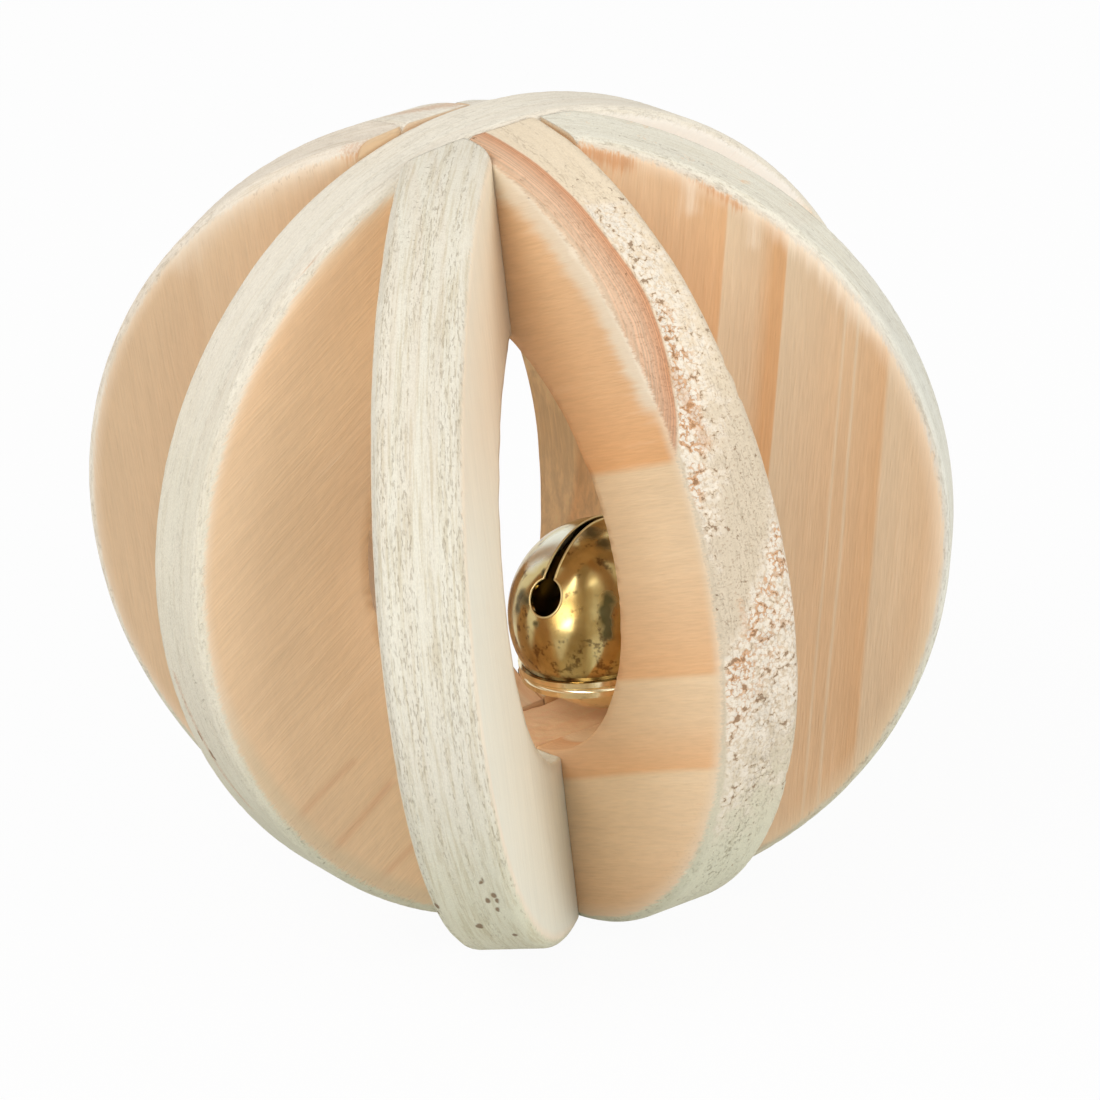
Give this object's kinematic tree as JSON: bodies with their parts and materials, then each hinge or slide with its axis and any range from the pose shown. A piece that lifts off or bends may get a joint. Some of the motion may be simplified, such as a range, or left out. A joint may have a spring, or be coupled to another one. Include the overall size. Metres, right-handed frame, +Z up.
{
  "type": "rattle ball",
  "caption": "Open ball of flat wooden rings crossing on one axis, glued together, with a loose slotted brass bell held in the hollow in the middle.",
  "frame": {"origin": "on the ground, under the middle of the ball's footprint, with the rings' common axis upright", "axes": "+Z up along the axis on which the rings cross; -Y is the front, the side on which the front half ring stands edge on; +X is the right side"},
  "size_m": [0.0629, 0.0614, 0.06],
  "materials": {
    "wood": "planed and sanded, bare",
    "pale_wood": "planed and sanded, bare",
    "bell_brass": "plated, lightly tarnished",
    "pellet_steel": "plain"
  },
  "bodies": {
    "root": {"through_ring": "pale_wood", "front_half_ring": "pale_wood", "front_right_half_ring": "wood", "right_half_ring": "wood", "back_half_ring": "pale_wood", "back_left_half_ring": "wood", "left_half_ring": "wood", "bell_shell": "bell_brass", "bell_cap": "bell_brass", "bell_pellet": "pellet_steel"}
  },
  "joints": []
}
